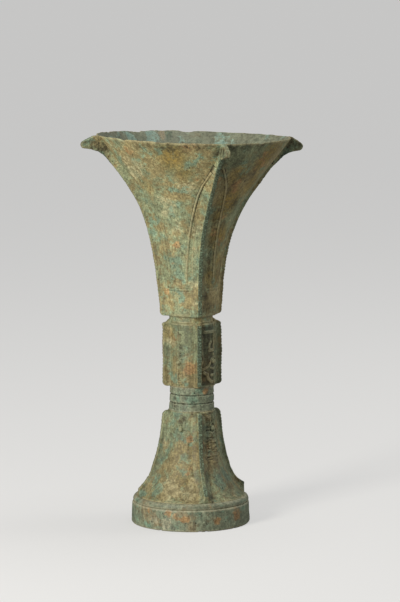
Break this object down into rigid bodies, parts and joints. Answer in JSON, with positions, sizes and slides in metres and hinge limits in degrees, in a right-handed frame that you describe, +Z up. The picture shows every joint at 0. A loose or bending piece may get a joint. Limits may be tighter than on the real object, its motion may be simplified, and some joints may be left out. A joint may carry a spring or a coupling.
{
  "type": "gu beaker",
  "caption": "Round bronze gu beaker: trumpet mouth, slender neck, knop and flared foot on a standing ring, with toothed flanges that end in beaks past the lip.",
  "frame": {"origin": "centre of the standing ring's lower edge, where the vessel rests", "axes": "+Z up along the vessel's axis, -Y and +Y through the front and back flanges, -X and +X through the left and right flanges"},
  "size_m": [0.1818, 0.1818, 0.3],
  "materials": {
    "tan_patina": "matt earthy patina",
    "grey_green_patina": "matt crusted patina",
    "malachite_patina": "matt green corrosion",
    "inner_patina": "dark matt patina"
  },
  "bodies": {
    "root": {"neck_shell": "tan_patina", "waist_ring": "tan_patina", "knop_shell": "tan_patina", "cup_floor": "inner_patina", "string_collar": "grey_green_patina", "foot_shell": "tan_patina", "foot_bead": "grey_green_patina", "foot_ring": "grey_green_patina", "neck_flange_front": "malachite_patina", "neck_flange_right": "malachite_patina", "neck_flange_back": "malachite_patina", "neck_flange_left": "malachite_patina", "knop_flange_front": "malachite_patina", "knop_flange_right": "malachite_patina", "knop_flange_back": "malachite_patina", "knop_flange_left": "malachite_patina", "foot_flange_front": "malachite_patina", "foot_flange_right": "malachite_patina", "foot_flange_back": "malachite_patina", "foot_flange_left": "malachite_patina", "knop_mask_relief": "tan_patina", "knop_eyes": "malachite_patina", "foot_mask_relief": "tan_patina", "foot_eyes": "malachite_patina", "neck_leaf_edges": "grey_green_patina"}
  },
  "joints": []
}
